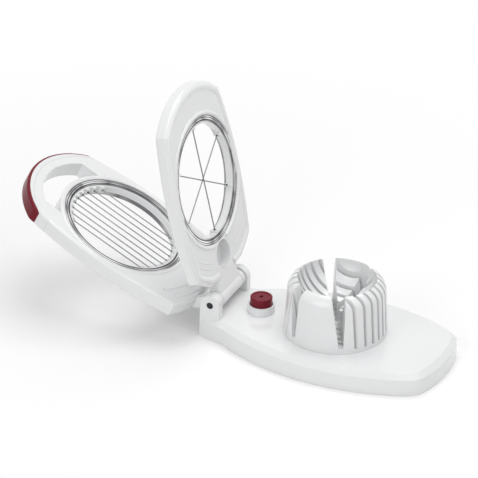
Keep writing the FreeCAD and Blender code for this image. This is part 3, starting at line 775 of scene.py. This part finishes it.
class EGGSLICER_OT_piercer_coil(bpy.types.Operator):
    """Wind a coil in place of the piercer's spring."""

    bl_idname = "eggslicer.piercer_coil"
    bl_label = "Piercer Coil"

    def execute(self, context):
        finish = settings()
        low, high = (Vector(corner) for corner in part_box("piercer_spring"))
        middle = (low + high) / 2
        radius = (high.x - low.x) / 2 - finish.coil_wire
        rise = high.z - low.z - 2 * finish.coil_wire
        steps = COIL_STEPS * finish.coil_turns
        points = []
        for step in range(steps + 1):
            turn = 2 * math.pi * step / COIL_STEPS
            points.append((middle.x + radius * math.cos(turn), middle.y + radius * math.sin(turn),
                           low.z + finish.coil_wire + rise * step / steps))
        coil = grown("piercer_coil", growth_tree("wound_coil", rods_on_lines), points, chain(0, len(points)),
                     finish.coil_wire, "drawn_wire_steel")
        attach(coil, "base")
        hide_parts("piercer_spring")
        travel = joint_record("piercer_press")["range_m"][1]
        1.0 - travel / (high.z - low.z)
        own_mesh(coil)
        return {"FINISHED"}


def aim(location, target, roll=0.0):
    """Returns the matrix of a lamp or camera at a place, looking at a target."""
    look = (target - location).to_track_quat("-Z", "Y").to_matrix().to_4x4()
    return Matrix.Translation(location) @ look @ Matrix.Rotation(roll, 4, "Z")


def add_lamp(name, location, size, power):
    """Adds a soft area lamp that looks at the object."""
    data = bpy.data.lights.new(name, "AREA")
    data.shape = "DISK"
    data.size = size
    data.energy = power
    lamp = bpy.data.objects.new(name, data)
    lamp.matrix_world = aim(Vector(location), Vector(AIM_POINT))
    bpy.context.collection.objects.link(lamp)


def seen_directly(recipe):
    """Returns 1 where the camera, a reflection or glass looks, and 0 where light bounces."""
    path = recipe.node("ShaderNodeLightPath")
    return (recipe.term(path, "Is Camera Ray") + recipe.term(path, "Is Glossy Ray")
            + recipe.term(path, "Is Transmission Ray"))


def pale_floor(studio):
    """Pale floor that takes the object's shadow, lifted a little near it and white further out."""
    material, recipe, place = start_material("pale_floor")
    shader = recipe.node("ShaderNodeBsdfPrincipled", Base_Color=FLOOR_COLOUR, Roughness=FLOOR_ROUGHNESS,
                         Specular_IOR_Level=FLOOR_GLOSS)
    matt = recipe.term(shader, "BSDF")
    glow = recipe.node("ShaderNodeEmission", Strength=studio.floor_lift)
    lifted = recipe.node("ShaderNodeAddShader")
    recipe.feed(lifted.inputs[0], matt)
    recipe.feed(lifted.inputs[1], recipe.term(glow, "Emission"))
    plain = recipe.node("ShaderNodeEmission", Strength=1.0)
    split = recipe.node("ShaderNodeSeparateXYZ", Vector=place)
    reach = flat_length(recipe.term(split, "X"), recipe.term(split, "Y"))
    fade = recipe.step(reach, studio.fade_start, studio.fade_end)
    seen = seen_directly(recipe)
    near = recipe.blend(seen, matt, recipe.term(lifted, "Shader"))
    surface = recipe.blend(seen * fade, near, recipe.term(plain, "Emission"))
    recipe.node("ShaderNodeOutputMaterial", Surface=surface)
    return material


def add_floor(studio):
    """Adds the floor."""
    half = FLOOR_HALF
    mesh = bpy.data.meshes.new("studio_floor")
    corners = [(-half, -half, 0.0), (half, -half, 0.0), (half, half, 0.0), (-half, half, 0.0)]
    mesh.from_pydata(corners, [], [(0, 1, 2, 3)])
    mesh.materials.append(pale_floor(studio))
    floor = bpy.data.objects.new("studio_floor", mesh)
    bpy.context.collection.objects.link(floor)


def light_world(studio):
    """Lights the room evenly and shows white to the camera and in reflections."""
    world = bpy.data.worlds.new("studio_world")
    world.use_nodes = True
    recipe = Recipe(world.node_tree)
    even = recipe.node("ShaderNodeBackground", Color=PURE_WHITE, Strength=studio.ambient)
    plain = recipe.node("ShaderNodeBackground", Color=PURE_WHITE, Strength=1.0)
    surface = recipe.blend(seen_directly(recipe), recipe.term(even, "Background"),
                           recipe.term(plain, "Background"))
    recipe.node("ShaderNodeOutputWorld", Surface=surface)
    bpy.context.scene.world = world


def add_camera(studio):
    """Adds the camera at the angle of the photograph."""
    data = bpy.data.cameras.new("photo_camera")
    data.sensor_width = SENSOR_WIDTH
    data.lens = SENSOR_WIDTH * studio.focal_pixels / PHOTO_PIXELS
    data.clip_end = FAR_CLIP
    camera = bpy.data.objects.new("photo_camera", data)
    level = math.cos(studio.elevation)
    back = Vector((math.sin(studio.azimuth) * level, -math.cos(studio.azimuth) * level,
                   math.sin(studio.elevation)))
    target = Vector(studio.target)
    camera.matrix_world = aim(target + back * studio.distance, target, studio.roll)
    bpy.context.collection.objects.link(camera)
    bpy.context.scene.camera = camera


class EGGSLICER_OT_studio(bpy.types.Operator):
    """Set up the floor, lamps, room and camera."""

    bl_idname = "eggslicer.studio"
    bl_label = "Studio"

    def execute(self, context):
        studio = context.scene.egg_slicer_studio
        add_floor(studio)
        for name, place, size, power in LAMPS:
            add_lamp(name, place, size, getattr(studio, power))
        light_world(studio)
        add_camera(studio)
        context.scene.view_settings.view_transform = "Standard"
        return {"FINISHED"}


class EGGSLICER_PT_panel(bpy.types.Panel):
    """Lists the steps of the egg slicer."""

    bl_idname = "EGGSLICER_PT_panel"
    bl_label = "Egg Slicer"
    bl_space_type = "VIEW_3D"
    bl_region_type = "UI"
    bl_category = "Egg Slicer"

    def draw(self, context):
        for operator in OPERATORS:
            self.layout.operator(operator.bl_idname)


OPERATORS = (EGGSLICER_OT_white_mouldings, EGGSLICER_OT_burgundy_pieces, EGGSLICER_OT_steel_pieces,
             EGGSLICER_OT_wire_beads, EGGSLICER_OT_arm_ledges, EGGSLICER_OT_cap_rim,
             EGGSLICER_OT_piercer_coil, EGGSLICER_OT_studio)
CLASSES = (FinishSettings, StudioSettings) + OPERATORS + (EGGSLICER_PT_panel,)


def register():
    """Registers the classes and the scene's settings."""
    for item in CLASSES:
        bpy.utils.register_class(item)
    bpy.types.Scene.egg_slicer_finish = bpy.props.PointerProperty(type=FinishSettings)
    bpy.types.Scene.egg_slicer_studio = bpy.props.PointerProperty(type=StudioSettings)


def unregister():
    """Removes the settings and the classes."""
    del bpy.types.Scene.egg_slicer_studio
    del bpy.types.Scene.egg_slicer_finish
    for item in reversed(CLASSES):
        bpy.utils.unregister_class(item)


def main():
    """Runs every step in order."""
    register()
    bpy.ops.eggslicer.white_mouldings()
    bpy.ops.eggslicer.burgundy_pieces()
    bpy.ops.eggslicer.steel_pieces()
    bpy.ops.eggslicer.wire_beads()
    bpy.ops.eggslicer.arm_ledges()
    bpy.ops.eggslicer.cap_rim()
    bpy.ops.eggslicer.piercer_coil()
    bpy.ops.eggslicer.studio()


if __name__ == "__main__":
    main()
